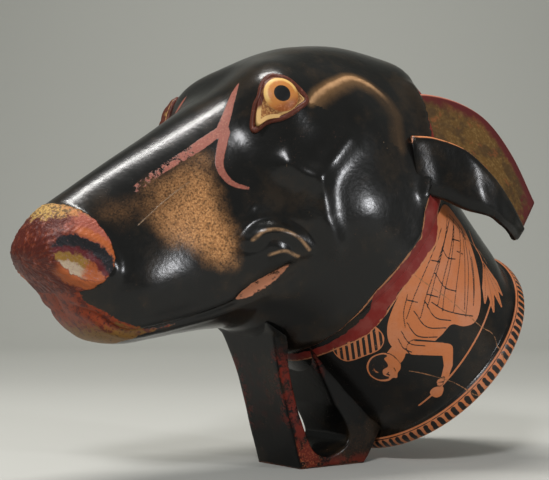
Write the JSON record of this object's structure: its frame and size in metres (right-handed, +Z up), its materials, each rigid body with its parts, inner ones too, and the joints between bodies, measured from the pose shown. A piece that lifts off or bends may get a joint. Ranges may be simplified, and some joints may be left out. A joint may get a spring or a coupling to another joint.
{
  "type": "hound's-head rhyton",
  "caption": "Hollow fired-clay drinking horn shaped as a hound's head, with a round mouth at the neck and a strap handle that it stands on.",
  "frame": {"origin": "centre of the flat foot, on the surface that the vessel stands on", "axes": "+Z up, -X towards the nose, +X towards the mouth, +Y to the hound's right side"},
  "size_m": [0.2354, 0.126, 0.1787],
  "materials": {
    "painted_clay": "glossy black slip over orange fired clay, worn in places, with added dark red and ochre paint; stands for fired clay"
  },
  "bodies": {
    "root": {"hound_head_vessel": "painted_clay"}
  },
  "joints": []
}
